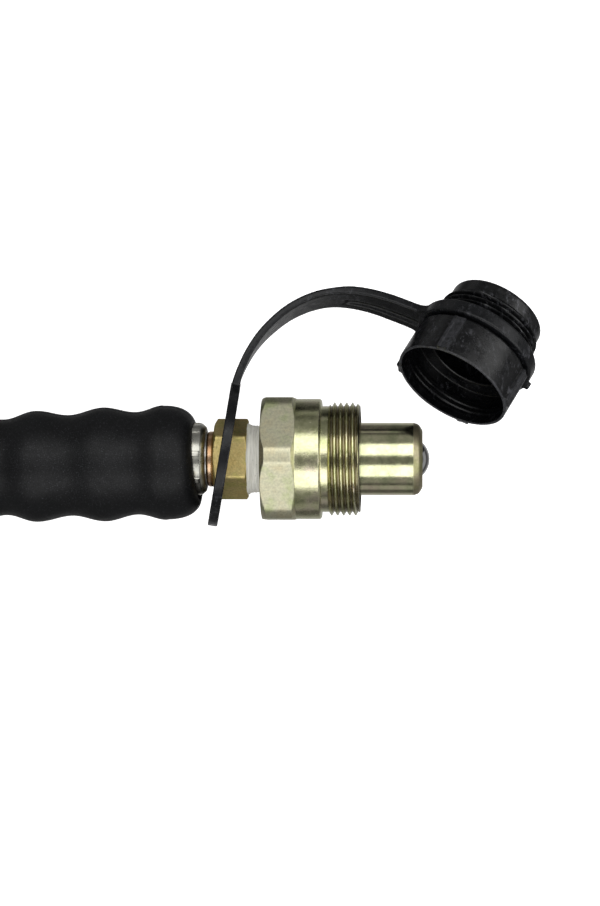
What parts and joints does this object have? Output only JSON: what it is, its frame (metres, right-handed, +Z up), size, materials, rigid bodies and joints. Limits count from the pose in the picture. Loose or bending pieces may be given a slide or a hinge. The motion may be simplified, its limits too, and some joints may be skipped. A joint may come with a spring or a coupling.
{
  "type": "hydraulic coupler half",
  "caption": "Probe half of a screw-together hydraulic coupler on a hose end, with ridged rubber grip, free-turning threaded sleeve, ball check valve and a tethered dust cap.",
  "frame": {"origin": "on the coupler's axis, in the plane of the coupling sleeve's front face, where the bare probe begins", "axes": "+X along the coupler's axis towards the probe's nose, +Z up, +Y to the left of +X, on the side where the tether hangs"},
  "size_m": [0.2037, 0.0651, 0.0385],
  "materials": {
    "grip_rubber": "matte, fine speckle",
    "ferrule_steel": "zinc plated",
    "insert_steel": "zinc plated",
    "copper": "soft copper, dull",
    "adaptor_gold": "yellow passivated steel, bronze tint",
    "ptfe": "thread seal tape",
    "probe_steel": "yellow passivated steel",
    "sleeve_steel": "yellow passivated steel",
    "ball_steel": "polished",
    "spring_steel": "bright",
    "inner_steel": "plain",
    "bush_bronze": "plain bearing",
    "seal_rubber": "nitrile",
    "cap_plastic": "moulded, semi-gloss"
  },
  "bodies": {
    "hose_end": {"hand_grip": "grip_rubber", "crimp_ferrule": "ferrule_steel", "hose_insert": "insert_steel", "copper_washer": "copper", "hex_adaptor": "adaptor_gold", "seal_tape": "ptfe", "probe_body": "probe_steel", "seat_seal": "seal_rubber", "spring_retainer": "inner_steel", "retainer_clip": "spring_steel", "valve_spring": "spring_steel", "sleeve_oring": "seal_rubber"},
    "sleeve": {"coupling_sleeve": "sleeve_steel", "guide_bush": "bush_bronze", "bush_clip": "spring_steel", "thrust_ring": "bush_bronze"},
    "ball": {"check_ball": "ball_steel"},
    "tether": {"tether_ring_end": "cap_plastic"},
    "tether_end": {"tether_cap_end": "cap_plastic"},
    "cap": {"dust_cap": "cap_plastic"}
  },
  "joints": [
    {"name": "sleeve_turn", "type": "hinge", "parent": "hose_end", "child": "sleeve", "pos_m": [0, 0, 0], "axis": [1, 0, 0], "continuous": true},
    {"name": "ball_slide", "type": "slide", "parent": "hose_end", "child": "ball", "axis": [-1, 0, 0], "range_m": [0, 0.0025], "stiffness_N_per_m": 800, "springref_m": -0.002, "deforming": ["valve_spring"]},
    {"name": "strap_swivel", "type": "hinge", "parent": "hose_end", "child": "tether", "pos_m": [-0.0361, 0, 0], "axis": [1, 0, 0], "continuous": true},
    {"name": "strap_flex", "type": "hinge", "parent": "tether", "child": "tether_end", "pos_m": [-0.005, 0.0432, -0.0039], "axis": [0.0912, 0.3434, 0.9348], "range_deg": [-10, 40], "stiffness_Nm_per_rad": 0.0125},
    {"name": "cap_spin", "type": "hinge", "parent": "tether_end", "child": "cap", "pos_m": [0.03064, 0.02977, -0.00038], "axis": [0.4655, 0.7597, -0.454], "continuous": true}
  ]
}
